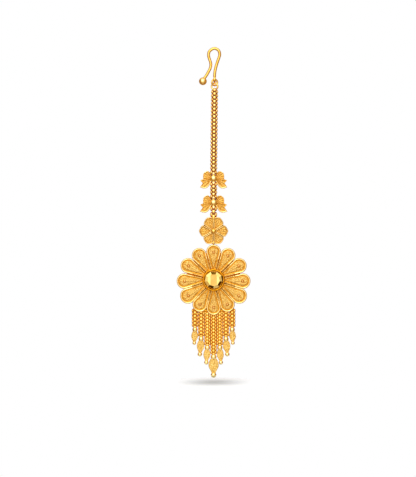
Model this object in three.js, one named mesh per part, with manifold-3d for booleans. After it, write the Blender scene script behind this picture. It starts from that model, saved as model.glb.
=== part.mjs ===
import * as THREE from 'three';
import { mergeVertices } from 'three/addons/utils/BufferGeometryUtils.js';
import { ConvexGeometry } from 'three/addons/geometries/ConvexGeometry.js';
import Module from 'manifold-3d';

const wasm = await Module();
wasm.setup();

// Maang tikka in millimetres. Z is up, the front faces -Y.
// The origin is the inside top of the hook's bend, where the jewel hangs in the hair.

// Fits and small overlaps
const clearance = 0.3;
const linkClearance = 0.25;
const solderOverlap = 0.12;
const linkOverlap = 0.07;
const solderSink = 3 * solderOverlap;

// Hook
const hookWire = 1.1;
const hookLength = 11.16;
const hookStemX = 0.38;
const hookHalfWidth = 2.28;
const hookBallOut = 4.07;
const hookBallDown = 11.89;
const hookBallDiameter = 2.96;
const hookEyeRadius = 0.9;
const hookEyeWire = 0.6;

// Rings under the hook
const jumpRingRadius = 1.15;
const jumpRingWire = 0.66;
const endRingRadius = 1.27;
const endRingWire = 0.62;
const ringTurn = 25;

// Main chain
const linkWidth = 2.7;
const linkBand = 1.1;
const linkBar = 0.32;
const endLinkExtra = 0.3;
const linkPitch = 1.44;
const linkSegments = 10;
const linkSquareness = 0.6;
const linkCrownShare = 0.3;
const upperWingDrop = 34.84;
const wingSpacing = 9.2;
const smallFlowerDrop = 10.8;

// Eyes that join the motifs to the chain
const eyeWire = 0.3;
const eyeGap = 0.12;
const eyeRoot = 0.25;

// Wing motifs
const wingBallDiameter = 2.8;
const wingSpan = 5.2;
const wingRise = 2.77;
const wingDrop = 3.79;
const wingThickness = 0.8;

// Small flower
const smallRadius = 5.6;
const smallPetalRoot = 1.0;
const smallPetals = 6;
const smallShoulder = 3.9;
const smallThickness = 0.8;
const smallRimWidth = 0.4;
const smallRimHeight = 0.35;
const smallGroove = 0.3;
const smallPadHeight = 0.25;
const smallPlateRadius = 4.3;
const smallBallDiameter = 2.0;
const smallBallRiseShare = 0.25;
const smallTopRise = 5.35;
const smallEyeRoot = 1.6;

// Pendant hinge
const hingeDrop = 4.65;
const hingeBar = 0.6;
const hingeBarHalfLength = 1.5;
const hingeRingWire = 0.5;
const hingeRingInset = 0.35;

// Main flower
const flowerHalfWidth = 14.1;
const flowerHalfHeight = 13.4;
const flowerPetals = 12;
const flowerShoulderShare = 0.79;
const petalSeam = 0.12;
const petalRootHalf = 0.05;
const petalRootSpread = 0.1;
const petalThickness = 0.8;
const petalRimWidth = 0.5;
const petalRimHeight = 0.5;
const petalGroove = 0.45;
const petalPadHeight = 0.35;
const backPlateRadius = 9.4;
const backPlateThickness = 0.6;
const bezelRadius = 4.3;
const bezelWall = 0.6;
const bezelHeight = 1.9;
const bezelFloor = 0.5;
const bezelSlopeStart = 0.7;
const bezelSlopeDepth = 0.4;
const petalRoot = 3.4;

// Centre stone
const stoneRadius = 3.4;
const stoneTable = 0.56;
const stoneStar = 0.8;
const stoneStarRise = 0.62;
const stoneCulet = 0.45;
const stoneCrown = 0.95;
const stonePavilion = 0.7;
const stoneSides = 9;
const stoneGirdleSink = 0.35;
const bezelTopY = -petalThickness / 2 + solderOverlap - bezelHeight;

// Fringe
const fringeSpacing = 2.36;
const fringeChainDiameter = 2.0;
const fringeStepDiameters = 2.5;
const hangerInset = 0.4;
const hangerRadius = flowerHalfHeight - hangerInset;
const hangerWidth = 2.2;
const hangerThickness = 0.6;
const hangerEyeRadius = 0.55;
const hangerEyeWire = 0.4;
const hangerEyeDrop = 0.4;
const hangerY = petalThickness / 2 + hangerThickness / 2 - solderOverlap;
const granuleDiameter = 1.1;
const granuleOut = 3.2;
const granuleOrbit = hangerRadius;

// Drops, one row for each strand. Lengths are shares of the longest strand's sizes.
const fringeLength = 13.57;
const dropBallDiameter = 2.2;
const leafWidth = 3.9;
const leafLength = 5.5;
const endBallDiameter = 2.1;
const dropRows = [
  { chain: 0.385, ball: 0.91, width: 0.66, length: 0.765, endBall: 0.67, lean: 3 },
  { chain: 0.565, ball: 0.91, width: 0.73, length: 0.865, endBall: 0.81, lean: 5 },
  { chain: 0.76, ball: 0.955, width: 0.69, length: 0.82, endBall: 0.79, lean: 4 },
  { chain: 1.0, ball: 1.0, width: 1.0, length: 1.0, endBall: 1.0, lean: 0 },
  { chain: 0.76, ball: 0.955, width: 0.69, length: 0.82, endBall: 0.79, lean: -4 },
  { chain: 0.565, ball: 0.91, width: 0.73, length: 0.865, endBall: 0.81, lean: -5 },
  { chain: 0.385, ball: 0.91, width: 0.66, length: 0.765, endBall: 0.67, lean: -3 },
];
const drops = dropRows.map(row => ({
  chain: row.chain * fringeLength,
  ball: row.ball * dropBallDiameter,
  leafWidth: row.width * leafWidth,
  leafLength: row.length * leafLength,
  endBall: row.endBall * endBallDiameter,
  lean: row.lean,
}));
const leafThickness = 0.7;

const polishedGold = () => new THREE.MeshStandardMaterial({ color: 0xe0a030, roughness: 0.2, metalness: 1 });
const mattGold = () => new THREE.MeshStandardMaterial({ color: 0xd9a441, roughness: 0.45, metalness: 1 });
const degrees = Math.PI / 180;

// Facets
const wireSides = 5;
const ballSides = 10;
const ringSides = 12;
const hangerEyeSides = 10;
const tubeSides = 8;
const hookSteps = 32;
const barSides = 10;
const discSides = 24;
const smallDiscSides = 18;
const outlineSegments = 3;
const hangerSegments = 8;

// Booleans
function toSolid(geometry) {
  const bare = geometry.clone();
  bare.deleteAttribute('normal');
  bare.deleteAttribute('uv');
  const merged = mergeVertices(bare, 1e-4);
  const index = merged.index.array;
  const triangles = [];
  for (let i = 0; i < index.length; i += 3) {
    const [a, b, c] = [index[i], index[i + 1], index[i + 2]];
    if (a !== b && b !== c && c !== a) triangles.push(a, b, c);
  }
  return new wasm.Manifold(new wasm.Mesh({
    numProp: 3,
    vertProperties: new Float32Array(merged.attributes.position.array),
    triVerts: new Uint32Array(triangles),
  }));
}

function toGeometry(solid) {
  const mesh = solid.getMesh();
  const geometry = new THREE.BufferGeometry();
  geometry.setAttribute('position', new THREE.BufferAttribute(new Float32Array(mesh.vertProperties), 3));
  geometry.setIndex(new THREE.BufferAttribute(new Uint32Array(mesh.triVerts), 1));
  return geometry;
}

function fuse(geometries) {
  return geometries.map(toSolid).reduce((whole, piece) => whole.add(piece));
}

function piece(name, solid, material) {
  const mesh = new THREE.Mesh(toGeometry(solid), material);
  mesh.name = name;
  return mesh;
}

// Basic forms
// A ball's poles point up and down
function ball(diameter, x, y, z, sides = ballSides) {
  return new THREE.SphereGeometry(diameter / 2, sides, sides / 2).rotateX(Math.PI / 2).translate(x, y, z);
}

function wireRing(radius, wire, sides = ringSides) {
  return new THREE.TorusGeometry(radius, wire / 2, wireSides, sides).rotateX(Math.PI / 2);
}

// A ring whose axis is X, as seen edge-on from the front
function edgeOnRing(radius, wire, sides = ringSides) {
  return new THREE.TorusGeometry(radius, wire / 2, wireSides, sides).rotateY(Math.PI / 2);
}

function tube(curve, diameter, sides, steps) {
  const section = new THREE.Shape(
    Array.from({ length: sides }, (_, i) => {
      const angle = (i / sides) * 2 * Math.PI;
      return new THREE.Vector2(Math.cos(angle) * diameter / 2, Math.sin(angle) * diameter / 2);
    }),
  );
  return new THREE.ExtrudeGeometry(section, { steps, extrudePath: curve, bevelEnabled: false });
}

function plate(shape, backY, frontY, curveSegments = outlineSegments) {
  return new THREE.ExtrudeGeometry(shape, { depth: backY - frontY, bevelEnabled: false, curveSegments })
    .rotateX(Math.PI / 2)
    .translate(0, backY, 0);
}

// Hook: route as shares of the half width and of the ball's drop
const hookRoute = [
  { across: 0.28, down: 0.63 },
  { across: 0.44, down: 0.506 },
  { across: 0.66, down: 0.372 },
  { across: 0.89, down: 0.25 },
  { across: 1.01, down: 0.164 },
  { across: 0.95, down: 0.066 },
  { across: 0.66, down: -0.01 },
  { across: 0.12, down: -0.046 },
  { across: -0.36, down: -0.01 },
  { across: -0.75, down: 0.066 },
  { across: -0.84, down: 0.157 },
  { across: -0.75, down: 0.262 },
  { across: -0.55, down: 0.372 },
  { across: -0.46, down: 0.482 },
  { across: -0.58, down: 0.592 },
  { across: -0.87, down: 0.702 },
  { across: -1.19, down: 0.812 },
  { across: -1.45, down: 0.883 },
];

function hairHook() {
  const stemTop = -hookLength + hookEyeRadius;
  const points = [
    new THREE.Vector3(hookStemX, 0, stemTop),
    new THREE.Vector3(hookStemX, 0, stemTop + hookEyeRadius),
    ...hookRoute.map(({ across, down }) => (
      new THREE.Vector3(across * hookHalfWidth, 0, -down * hookBallDown)
    )),
    new THREE.Vector3(-hookBallOut, 0, -hookBallDown),
  ];
  return fuse([
    tube(new THREE.CatmullRomCurve3(points), hookWire, tubeSides, hookSteps),
    ball(hookBallDiameter, -hookBallOut, 0, -hookBallDown),
    edgeOnRing(hookEyeRadius, hookEyeWire).translate(hookStemX, 0, -hookLength),
  ]);
}

// Rings under the hook
const jumpRingZ = -hookLength - hookEyeRadius + hookEyeWire / 2 + linkClearance
  - (jumpRingRadius - jumpRingWire / 2);
const endRingZ = jumpRingZ - (jumpRingRadius - jumpRingWire / 2) + linkClearance + endRingWire / 2
  - endRingRadius;

function hookJumpRing() {
  return toSolid(
    wireRing(jumpRingRadius, jumpRingWire).rotateZ(ringTurn * degrees).translate(hookStemX, 0, jumpRingZ),
  );
}

// Draws a round form in the XZ plane out towards a square of the same reach
function squareOff(geometry, power) {
  const spots = geometry.attributes.position;
  for (let i = 0; i < spots.count; i += 1) {
    const x = spots.getX(i);
    const z = spots.getZ(i);
    const radius = Math.hypot(x, z);
    spots.setX(i, radius * Math.sign(x) * Math.abs(x / radius) ** power);
    spots.setZ(i, radius * Math.sign(z) * Math.abs(z / radius) ** power);
  }
  return geometry;
}

// Chain links: wide ovals of a domed band, turned a quarter from one to the next
const linkStep = linkPitch / 2;

function chainLink(halfHeight) {
  const bar = linkBar / halfHeight;
  const profile = [
    new THREE.Vector2(1 - bar, -linkBand / 2),
    new THREE.Vector2(1 - bar * linkCrownShare, -linkBand / 2),
    new THREE.Vector2(1, 0),
    new THREE.Vector2(1 - bar * linkCrownShare, linkBand / 2),
    new THREE.Vector2(1 - bar, linkBand / 2),
    new THREE.Vector2(1 - bar, -linkBand / 2),
  ];
  const sideReach = Math.cos(Math.PI / linkSegments) ** linkSquareness;
  const ring = squareOff(new THREE.LatheGeometry(profile, linkSegments), linkSquareness);
  return ring.scale(linkWidth / 2 / sideReach, 1, halfHeight);
}

// A run of links, each turned a quarter from the last. A link that takes an eye is longer.
function chainRun({ topX, topZ, bottomZ, topTakesEye }) {
  const quarterSteps = (topZ - bottomZ) / linkStep;
  const count = topTakesEye
    ? 2 * Math.max(1, Math.round(quarterSteps / 2))
    : 2 * Math.round((quarterSteps - 1) / 2) + 1;
  const step = (topZ - bottomZ) / count;
  const halfHeight = (step - linkOverlap) / 2 + linkBar;
  return Array.from({ length: count + 1 }, (_, i) => {
    const facesFront = (count - i) % 2 === 0;
    const topExtra = i === 0 && topTakesEye ? endLinkExtra / 2 : 0;
    const bottomExtra = i === count ? endLinkExtra / 2 : 0;
    const link = chainLink(halfHeight + topExtra + bottomExtra);
    if (!facesFront) link.rotateZ(Math.PI / 2);
    const x = THREE.MathUtils.lerp(topX, 0, i / count);
    return link.translate(x, 0, topZ - i * step + topExtra - bottomExtra);
  });
}

// Heights down the jewel
const linkInnerHalf = (linkStep - linkOverlap) / 2;
const eyeReach = eyeGap + linkBar + eyeGap + eyeWire / 2;
const endLinkReach = eyeGap + linkBar + endLinkExtra + linkInnerHalf;
const chainTopZ = endRingZ - endRingRadius + endRingWire / 2 - linkInnerHalf - linkOverlap;
const upperWingZ = endRingZ - upperWingDrop;
const lowerWingZ = upperWingZ - wingSpacing;
const smallFlowerZ = lowerWingZ - smallFlowerDrop;
const wingEyeZ = wingBallDiameter / 2 + endLinkReach;
const hingeZ = smallFlowerZ - hingeDrop;
const hingeRingRadius = hingeBar / 2 + clearance + hingeRingWire / 2;
const flowerZ = hingeZ - hingeRingRadius - flowerHalfHeight + hingeRingInset;

// An eye in the plane of the axis, that stands up or down from a solid's face
function eye(faceZ, direction, root = eyeRoot) {
  const radius = (eyeReach + root) / 2;
  const halfDepth = linkBand / 2 + eyeGap + eyeWire / 2;
  return edgeOnRing(radius, eyeWire)
    .scale(1, halfDepth / radius, 1)
    .translate(0, 0, faceZ + direction * (eyeReach - radius));
}

function mainChainUpper() {
  const endRing = wireRing(endRingRadius, endRingWire)
    .rotateZ(-ringTurn * degrees)
    .translate(hookStemX, 0, endRingZ);
  const links = chainRun({
    topX: hookStemX,
    topZ: chainTopZ,
    bottomZ: upperWingZ + wingEyeZ,
    topTakesEye: false,
  });
  return fuse([endRing, ...links]);
}

function mainChainMiddle() {
  return fuse(chainRun({
    topX: 0,
    topZ: upperWingZ - wingEyeZ,
    bottomZ: lowerWingZ + wingEyeZ,
    topTakesEye: true,
  }));
}

function mainChainLower() {
  return fuse(chainRun({
    topX: 0,
    topZ: lowerWingZ - wingEyeZ,
    bottomZ: smallFlowerZ + smallTopRise + endLinkReach,
    topTakesEye: true,
  }));
}

// Wing outline as shares: across of the span, up of the rise, down of the drop
const wingOutline = [
  { across: 0.25, up: 0.23 },
  { across: 0.31, up: 0.62 },
  { across: 0.34, up: 0.94 },
  { across: 0.43, up: 1.0 },
  { across: 0.58, up: 0.92 },
  { across: 0.74, up: 0.66 },
  { across: 0.77, up: 0.1 },
  { across: 0.76, up: -0.06 },
  { across: 0.98, up: -0.21 },
  { across: 0.8, up: -0.48 },
  { across: 1.0, up: -0.89 },
  { across: 0.74, up: -1.0 },
  { across: 0.56, up: -0.95 },
  { across: 0.41, up: -0.77 },
  { across: 0.29, up: -0.5 },
  { across: 0.19, up: -0.28 },
];

function wingShape() {
  const points = wingOutline.map(({ across, up }) => (
    new THREE.Vector2(across * wingSpan, up * (up > 0 ? wingRise : wingDrop))
  ));
  return new THREE.Shape(points.reverse());
}

function wingMotif(z) {
  const right = plate(wingShape(), wingThickness / 2, -wingThickness / 2);
  const left = right.clone().rotateZ(Math.PI);
  const solid = fuse([
    ball(wingBallDiameter, 0, 0, 0),
    right,
    left,
    eye(wingBallDiameter / 2, 1),
    eye(-wingBallDiameter / 2, -1),
  ]);
  return solid.translate([0, 0, z]);
}

// A petal points up: straight sides along its share of the circle, then a round end
function petalShape({ root, shoulder, tip, halfAngle, seam, inset }) {
  const side = seam + inset / Math.cos(halfAngle);
  const rootHalf = Math.max(root * Math.tan(halfAngle) - side, inset * petalRootSpread + petalRootHalf);
  const halfWidth = shoulder * Math.tan(halfAngle) - side;
  const shape = new THREE.Shape();
  shape.moveTo(-rootHalf, root);
  shape.lineTo(rootHalf, root);
  shape.lineTo(halfWidth, shoulder);
  shape.absellipse(0, shoulder, halfWidth, tip - inset - shoulder, 0, Math.PI, false);
  return shape;
}

// A petal is a dished plate with a raised rim and a raised pad inside a groove
function petal({ size, backY, faceY, rimWidth, rimHeight, groove, padHeight }) {
  const outer = petalShape({ ...size, inset: 0 });
  outer.holes.push(petalShape({ ...size, root: size.root + rimWidth, inset: rimWidth }));
  const floor = petalShape({ ...size, root: size.root + rimWidth / 2, inset: rimWidth / 2 });
  const padInset = rimWidth + groove;
  const pad = petalShape({ ...size, root: size.root + padInset, inset: padInset });
  return fuse([
    plate(outer, backY, faceY - rimHeight),
    plate(floor, backY - solderOverlap, faceY),
    plate(pad, backY - 2 * solderOverlap, faceY - padHeight),
  ]);
}

// A disc that joins the petals from behind
function backDisc(radius, backY, sides) {
  return new THREE.CylinderGeometry(radius, radius, backPlateThickness, sides)
    .translate(0, backY - backPlateThickness / 2 + solderOverlap, 0);
}

function smallFlower() {
  const halfAngle = Math.PI / smallPetals;
  const size = {
    root: smallPetalRoot,
    shoulder: smallShoulder,
    tip: smallRadius,
    halfAngle,
    seam: petalSeam,
  };
  const faceY = -smallThickness / 2;
  const one = petal({
    size,
    backY: smallThickness / 2,
    faceY,
    rimWidth: smallRimWidth,
    rimHeight: smallRimHeight,
    groove: smallGroove,
    padHeight: smallPadHeight,
  });
  const disc = backDisc(smallPlateRadius, smallThickness / 2, smallDiscSides);
  const slot = new THREE.BoxGeometry(
    hingeRingWire + 2 * clearance,
    4 * smallThickness,
    2 * (smallRadius - hingeRingRadius),
  );
  const slotTop = -hingeDrop + hingeRingRadius + hingeRingWire / 2 + clearance;
  slot.translate(0, 0, slotTop - (smallRadius - hingeRingRadius));
  const bar = new THREE.CylinderGeometry(hingeBar / 2, hingeBar / 2, 2 * hingeBarHalfLength, barSides)
    .rotateZ(Math.PI / 2)
    .translate(0, 0, -hingeDrop);
  let solid = toSolid(disc);
  for (let i = 0; i < smallPetals; i += 1) {
    solid = solid.add(one.rotate([0, (360 * (i + 0.5)) / smallPetals, 0]));
  }
  solid = solid.subtract(toSolid(slot));
  solid = solid.add(toSolid(bar));
  solid = solid.add(toSolid(ball(smallBallDiameter, 0, faceY - smallBallDiameter * smallBallRiseShare, 0)));
  solid = solid.add(toSolid(eye(smallTopRise, 1, smallEyeRoot)));
  return solid.translate([0, 0, smallFlowerZ]);
}

// Main flower petals from the top down one side: lean in degrees below the even spacing, and
// reach as a share of the ellipse through the flower's tips
const petalRows = [
  { lean: 0, reach: 1.0 },
  { lean: 0.5, reach: 1.0 },
  { lean: 1, reach: 1.0 },
  { lean: 2.5, reach: 0.995 },
  { lean: 2, reach: 1.04 },
  { lean: 1, reach: 1.0 },
  { lean: 0, reach: 1.0 },
];

// Where petal i points, clockwise from the top, and how far it reaches
function petalPlace(i) {
  const leftSide = i > flowerPetals / 2;
  const row = petalRows[leftSide ? flowerPetals - i : i];
  const lean = (leftSide ? -row.lean : row.lean) * degrees;
  const angle = (2 * Math.PI * i) / flowerPetals + lean;
  const ellipse = 1 / Math.hypot(Math.sin(angle) / flowerHalfWidth, Math.cos(angle) / flowerHalfHeight);
  return { angle, tip: ellipse * row.reach };
}

function bezel(faceY) {
  const outer = bezelRadius;
  const inner = bezelRadius - bezelWall;
  const profile = [
    new THREE.Vector2(0, 0),
    new THREE.Vector2(outer, 0),
    new THREE.Vector2(outer, bezelHeight * bezelSlopeStart),
    new THREE.Vector2(outer - bezelWall * bezelSlopeDepth, bezelHeight),
    new THREE.Vector2(inner, bezelHeight),
    new THREE.Vector2(inner, bezelFloor),
    new THREE.Vector2(0, bezelFloor),
  ];
  return new THREE.LatheGeometry(profile, discSides).rotateX(Math.PI).translate(0, faceY + solderOverlap, 0);
}

function hangerParts() {
  const reach = (drops.length - 1) / 2 * fringeSpacing;
  const halfAngle = Math.asin((reach + hangerEyeRadius) / hangerRadius);
  const start = -Math.PI / 2 - halfAngle;
  const sector = new THREE.Shape();
  sector.absarc(0, 0, hangerRadius, start, start + 2 * halfAngle, false);
  sector.absarc(0, 0, hangerRadius - hangerWidth, start + 2 * halfAngle, start, true);
  const bow = plate(sector, hangerY + hangerThickness / 2, hangerY - hangerThickness / 2, hangerSegments);
  const eyes = drops.map((_, i) => wireRing(hangerEyeRadius, hangerEyeWire, hangerEyeSides)
    .translate(fringeX(i), hangerY, hangerEyeZ(i) - flowerZ));
  const granuleZ = -Math.sqrt(granuleOrbit ** 2 - granuleOut ** 2);
  const granules = [-1, 1].map(side => (
    ball(granuleDiameter, side * granuleOut, hangerY - hangerThickness / 2, granuleZ)
  ));
  return [bow, ...eyes, ...granules];
}

function mainFlower() {
  const backY = petalThickness / 2;
  const faceY = -petalThickness / 2;
  const halfAngle = Math.PI / flowerPetals;
  let solid = toSolid(backDisc(backPlateRadius, backY, discSides));
  for (let i = 0; i < flowerPetals; i += 1) {
    const { angle, tip } = petalPlace(i);
    const size = { root: petalRoot, shoulder: tip * flowerShoulderShare, tip, halfAngle, seam: petalSeam };
    const one = petal({
      size,
      backY,
      faceY,
      rimWidth: petalRimWidth,
      rimHeight: petalRimHeight,
      groove: petalGroove,
      padHeight: petalPadHeight,
    });
    solid = solid.add(one.rotate([0, angle / degrees, 0]));
  }
  const topRing = edgeOnRing(hingeRingRadius, hingeRingWire).translate(0, 0, hingeZ - flowerZ);
  [bezel(faceY), topRing, ...hangerParts()].forEach((form) => {
    solid = solid.add(toSolid(form));
  });
  return solid.translate([0, 0, flowerZ]);
}

// Cut stone: a table, a crown of kites and a pavilion, as the hull of its corners
function centreStone() {
  const up = Math.PI / 2;
  const turn = up + Math.PI / stoneSides;
  const ringOf = (radius, count, y, offset) => Array.from({ length: count }, (_, i) => {
    const angle = (i / count) * 2 * Math.PI + offset;
    return new THREE.Vector3(Math.cos(angle) * radius, y, Math.sin(angle) * radius);
  });
  const girdleY = bezelTopY + stoneGirdleSink;
  const corners = [
    ...ringOf(stoneRadius * stoneTable, stoneSides, girdleY - stoneCrown, turn),
    ...ringOf(stoneRadius * stoneStar, stoneSides, girdleY - stoneCrown * stoneStarRise, up),
    ...ringOf(stoneRadius, 2 * stoneSides, girdleY, up),
    ...ringOf(stoneRadius * stoneCulet, stoneSides, girdleY + stonePavilion, turn),
  ];
  return toSolid(new ConvexGeometry(corners)).translate([0, 0, flowerZ]);
}

// Fringe
function fringeX(i) {
  return (i - (drops.length - 1) / 2) * fringeSpacing;
}

function hangerEyeZ(i) {
  return flowerZ - Math.sqrt((hangerRadius + hangerEyeDrop) ** 2 - fringeX(i) ** 2);
}

function fringeTopZ(i) {
  return hangerEyeZ(i) - hangerEyeRadius - hangerEyeWire / 2 - clearance;
}

function fringeChain(i) {
  const top = new THREE.Vector3(fringeX(i), hangerY, fringeTopZ(i));
  const foot = top.clone().setZ(top.z - drops[i].chain);
  const steps = Math.round(drops[i].chain / (fringeStepDiameters * fringeChainDiameter));
  return toSolid(tube(new THREE.LineCurve3(top, foot), fringeChainDiameter, tubeSides, Math.max(1, steps)));
}

// Leaf outline as shares of its half width and its length, from the ball down
const leafOutline = [
  { across: 0.56, down: 0.0 },
  { across: 0.75, down: 0.1 },
  { across: 0.93, down: 0.28 },
  { across: 1.0, down: 0.46 },
  { across: 0.88, down: 0.63 },
  { across: 0.6, down: 0.81 },
  { across: 0.36, down: 1.0 },
];

function leafShape(width, length) {
  const side = direction => leafOutline.map(({ across, down }) => (
    new THREE.Vector2(direction * across * width / 2, -down * length)
  ));
  return new THREE.Shape([...side(1).reverse(), ...side(-1)].reverse());
}

function drop(i) {
  const row = drops[i];
  const leafTop = -row.ball / 2 + solderSink;
  const endBallZ = leafTop - row.leafLength - row.endBall / 2 + solderSink;
  const solid = fuse([
    ball(row.ball, 0, 0, 0),
    plate(leafShape(row.leafWidth, row.leafLength), leafThickness / 2, -leafThickness / 2)
      .translate(0, 0, leafTop),
    ball(row.endBall, 0, 0, endBallZ),
  ]);
  const ballZ = fringeTopZ(i) - row.chain - clearance - row.ball / 2;
  return solid.rotate([0, row.lean, 0]).translate([fringeX(i), hangerY, ballZ]);
}

// Assembly
const jewel = new THREE.Group();
jewel.add(piece('hair_hook', hairHook(), polishedGold()));
jewel.add(piece('hook_jump_ring', hookJumpRing(), polishedGold()));
jewel.add(piece('main_chain_upper', mainChainUpper(), polishedGold()));
jewel.add(piece('main_chain_middle', mainChainMiddle(), polishedGold()));
jewel.add(piece('main_chain_lower', mainChainLower(), polishedGold()));
jewel.add(piece('wing_motif_upper', wingMotif(upperWingZ), mattGold()));
jewel.add(piece('wing_motif_lower', wingMotif(lowerWingZ), mattGold()));
jewel.add(piece('small_flower', smallFlower(), mattGold()));
jewel.add(piece('main_flower', mainFlower(), mattGold()));
jewel.add(piece('centre_stone', centreStone(), polishedGold()));
drops.forEach((_, i) => {
  jewel.add(piece(`fringe_chain_${i + 1}`, fringeChain(i), polishedGold()));
  jewel.add(piece(`leaf_drop_${i + 1}`, drop(i), mattGold()));
});

export default jewel;
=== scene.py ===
import math

import bmesh
import bpy
from mathutils import Matrix, Vector


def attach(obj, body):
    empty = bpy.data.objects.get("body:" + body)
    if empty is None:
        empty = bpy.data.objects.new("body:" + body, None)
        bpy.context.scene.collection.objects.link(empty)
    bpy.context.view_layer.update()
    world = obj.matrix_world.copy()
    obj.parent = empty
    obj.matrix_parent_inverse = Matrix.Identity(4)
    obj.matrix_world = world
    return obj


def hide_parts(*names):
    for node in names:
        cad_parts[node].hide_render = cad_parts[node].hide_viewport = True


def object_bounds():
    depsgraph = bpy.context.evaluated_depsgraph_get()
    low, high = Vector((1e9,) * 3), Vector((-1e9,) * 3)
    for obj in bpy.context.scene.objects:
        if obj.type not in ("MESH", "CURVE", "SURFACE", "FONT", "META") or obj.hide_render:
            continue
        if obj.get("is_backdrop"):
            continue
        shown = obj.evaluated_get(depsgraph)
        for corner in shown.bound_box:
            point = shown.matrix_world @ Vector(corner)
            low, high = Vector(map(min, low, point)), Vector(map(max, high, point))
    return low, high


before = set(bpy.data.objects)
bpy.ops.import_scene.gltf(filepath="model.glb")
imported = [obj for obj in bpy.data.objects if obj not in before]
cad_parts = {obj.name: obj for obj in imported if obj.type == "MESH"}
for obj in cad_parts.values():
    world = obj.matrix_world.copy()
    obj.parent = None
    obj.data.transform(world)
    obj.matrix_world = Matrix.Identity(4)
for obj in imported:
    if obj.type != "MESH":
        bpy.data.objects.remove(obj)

cad_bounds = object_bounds()

# Sizes in millimetres, as in the part; everything handed to Blender is scaled to metres
MM = 0.001
STRAND, PENDANT = "strand", "pendant"

# Hook and rings
HOOK_WIRE = 1.1
HOOK_LENGTH = 11.16
HOOK_STEM_X = 0.38
HOOK_HALF_WIDTH = 2.28
HOOK_BALL_OUT, HOOK_BALL_DOWN, HOOK_BALL = 4.07, 11.89, 2.96
HOOK_EYE_RADIUS, HOOK_EYE_WIRE, HOOK_EYE_BAND = 0.9, 0.6, 0.95
JUMP_RING_RADIUS, JUMP_RING_WIRE = 1.15, 0.66
END_RING_RADIUS, END_RING_WIRE = 1.27, 0.62
RING_TURN = math.radians(25)
RING_STEPS, RING_SIDES = 40, 14

# Links and eyes. LINK_BAR and LINK_BAND are the part's own and set the heights and the eyes. The links
# shown take LINK_BARS and LINK_BANDS, their thickness and depth at the sides and at the ends.
LINK_CLEARANCE = 0.25
LINK_WIDTH, LINK_BAND, LINK_BAR = 2.7, 1.1, 0.32
LINK_STEP, LINK_OVERLAP, END_LINK_EXTRA = 0.72, 0.07, 0.3
LINK_BARS, LINK_BANDS = (0.88, 0.39), (1.3, 0.8)
# Past LINK_BRIGHT_SHARE of the half height, towards the ends where they dive into the next links, links take
# painted shade
LINK_SQUARENESS, LINK_SECTION_SQUARENESS, LINK_BRIGHT_SHARE = 0.6, 0.85, 0.4
LINK_STEPS, LINK_SIDES = 28, 10
EYE_WIRE, EYE_GAP, EYE_ROOT, EYE_BAND, EYE_FILL = 0.3, 0.12, 0.25, 0.95, 0.4
UPPER_WING_DROP, WING_SPACING, SMALL_FLOWER_DROP = 34.84, 9.2, 10.8
WING_BALL = 2.8
SMALL_TOP_RISE, SMALL_EYE_ROOT = 5.35, 1.6

# Heights down the jewel
JUMP_RING_INNER = JUMP_RING_RADIUS - JUMP_RING_WIRE / 2
JUMP_RING_Z = -HOOK_LENGTH - HOOK_EYE_RADIUS + HOOK_EYE_WIRE / 2 + LINK_CLEARANCE - JUMP_RING_INNER
END_RING_Z = JUMP_RING_Z - JUMP_RING_INNER + LINK_CLEARANCE + END_RING_WIRE / 2 - END_RING_RADIUS
LINK_INNER_HALF = (LINK_STEP - LINK_OVERLAP) / 2
EYE_REACH = EYE_GAP + LINK_BAR + EYE_GAP + EYE_WIRE / 2
END_LINK_REACH = EYE_GAP + LINK_BAR + END_LINK_EXTRA + LINK_INNER_HALF
CHAIN_TOP_Z = END_RING_Z - END_RING_RADIUS + END_RING_WIRE / 2 - LINK_INNER_HALF - LINK_OVERLAP
UPPER_WING_Z = END_RING_Z - UPPER_WING_DROP
LOWER_WING_Z = UPPER_WING_Z - WING_SPACING
SMALL_FLOWER_Z = LOWER_WING_Z - SMALL_FLOWER_DROP
WING_EYE_Z = WING_BALL / 2 + END_LINK_REACH

# Small flower and hinge
SMALL_RADIUS, SMALL_PETALS, SMALL_SHOULDER = 5.6, 6, 3.9
SMALL_ROOT, SMALL_SEAM = 0.5, 0.05
SMALL_BALL, SMALL_BALL_Y = 2.0, -0.9
ROOT_LINK_HALF_HEIGHT, ROOT_LINK_Y, ROOT_LINK_DROP = 0.42, -0.1, 0.36
HINGE_DROP, HINGE_BAR, HINGE_BAR_HALF, HINGE_RING_WIRE = 4.65, 0.6, 1.5, 0.5
HINGE_CLEARANCE, HINGE_RING_SINK, HINGE_BAR_SIDES = 0.3, 0.35, 24
HINGE_RING_RADIUS = HINGE_BAR / 2 + HINGE_CLEARANCE + HINGE_RING_WIRE / 2
HINGE_Z = SMALL_FLOWER_Z - HINGE_DROP

# Main flower
FLOWER_HALF_WIDTH, FLOWER_HALF_HEIGHT, FLOWER_PETALS = 14.1, 13.4, 12
FLOWER_Z = HINGE_Z - HINGE_RING_RADIUS - FLOWER_HALF_HEIGHT + HINGE_RING_SINK
PLATE = 0.8
PETAL_ROOT, PETAL_SEAM, SHOULDER_SHARE, MATT_ROOT = 3.4, 0.04, 0.79, 8
PETAL_GRANULE, PETAL_GRANULE_Y, PETAL_GRANULE_SHARE = 0.55, -0.86, 0.785
GRANULE_SIDES, GRANULE_ROWS = 16, 8
GRANULE_RING_RADIUS, GRANULE_RING_WIRE, GRANULE_RING_STEPS, GRANULE_RING_SIDES = 0.5, 0.22, 24, 8
BEZEL_RADIUS, BEZEL_WALL, BEZEL_HEIGHT, BEZEL_SINK = 4.3, 0.6, 1.9, 0.12
STONE_RADIUS, STONE_SIDES = 3.6, 9
STONE_TABLE, STONE_STAR, STONE_STAR_RISE, STONE_CULET = 0.64, 0.92, 0.5, 0.45
STONE_CROWN, STONE_PAVILION, STONE_SINK, STRIP_HALF = 0.95, 0.7, 0.35, 1.2
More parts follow.
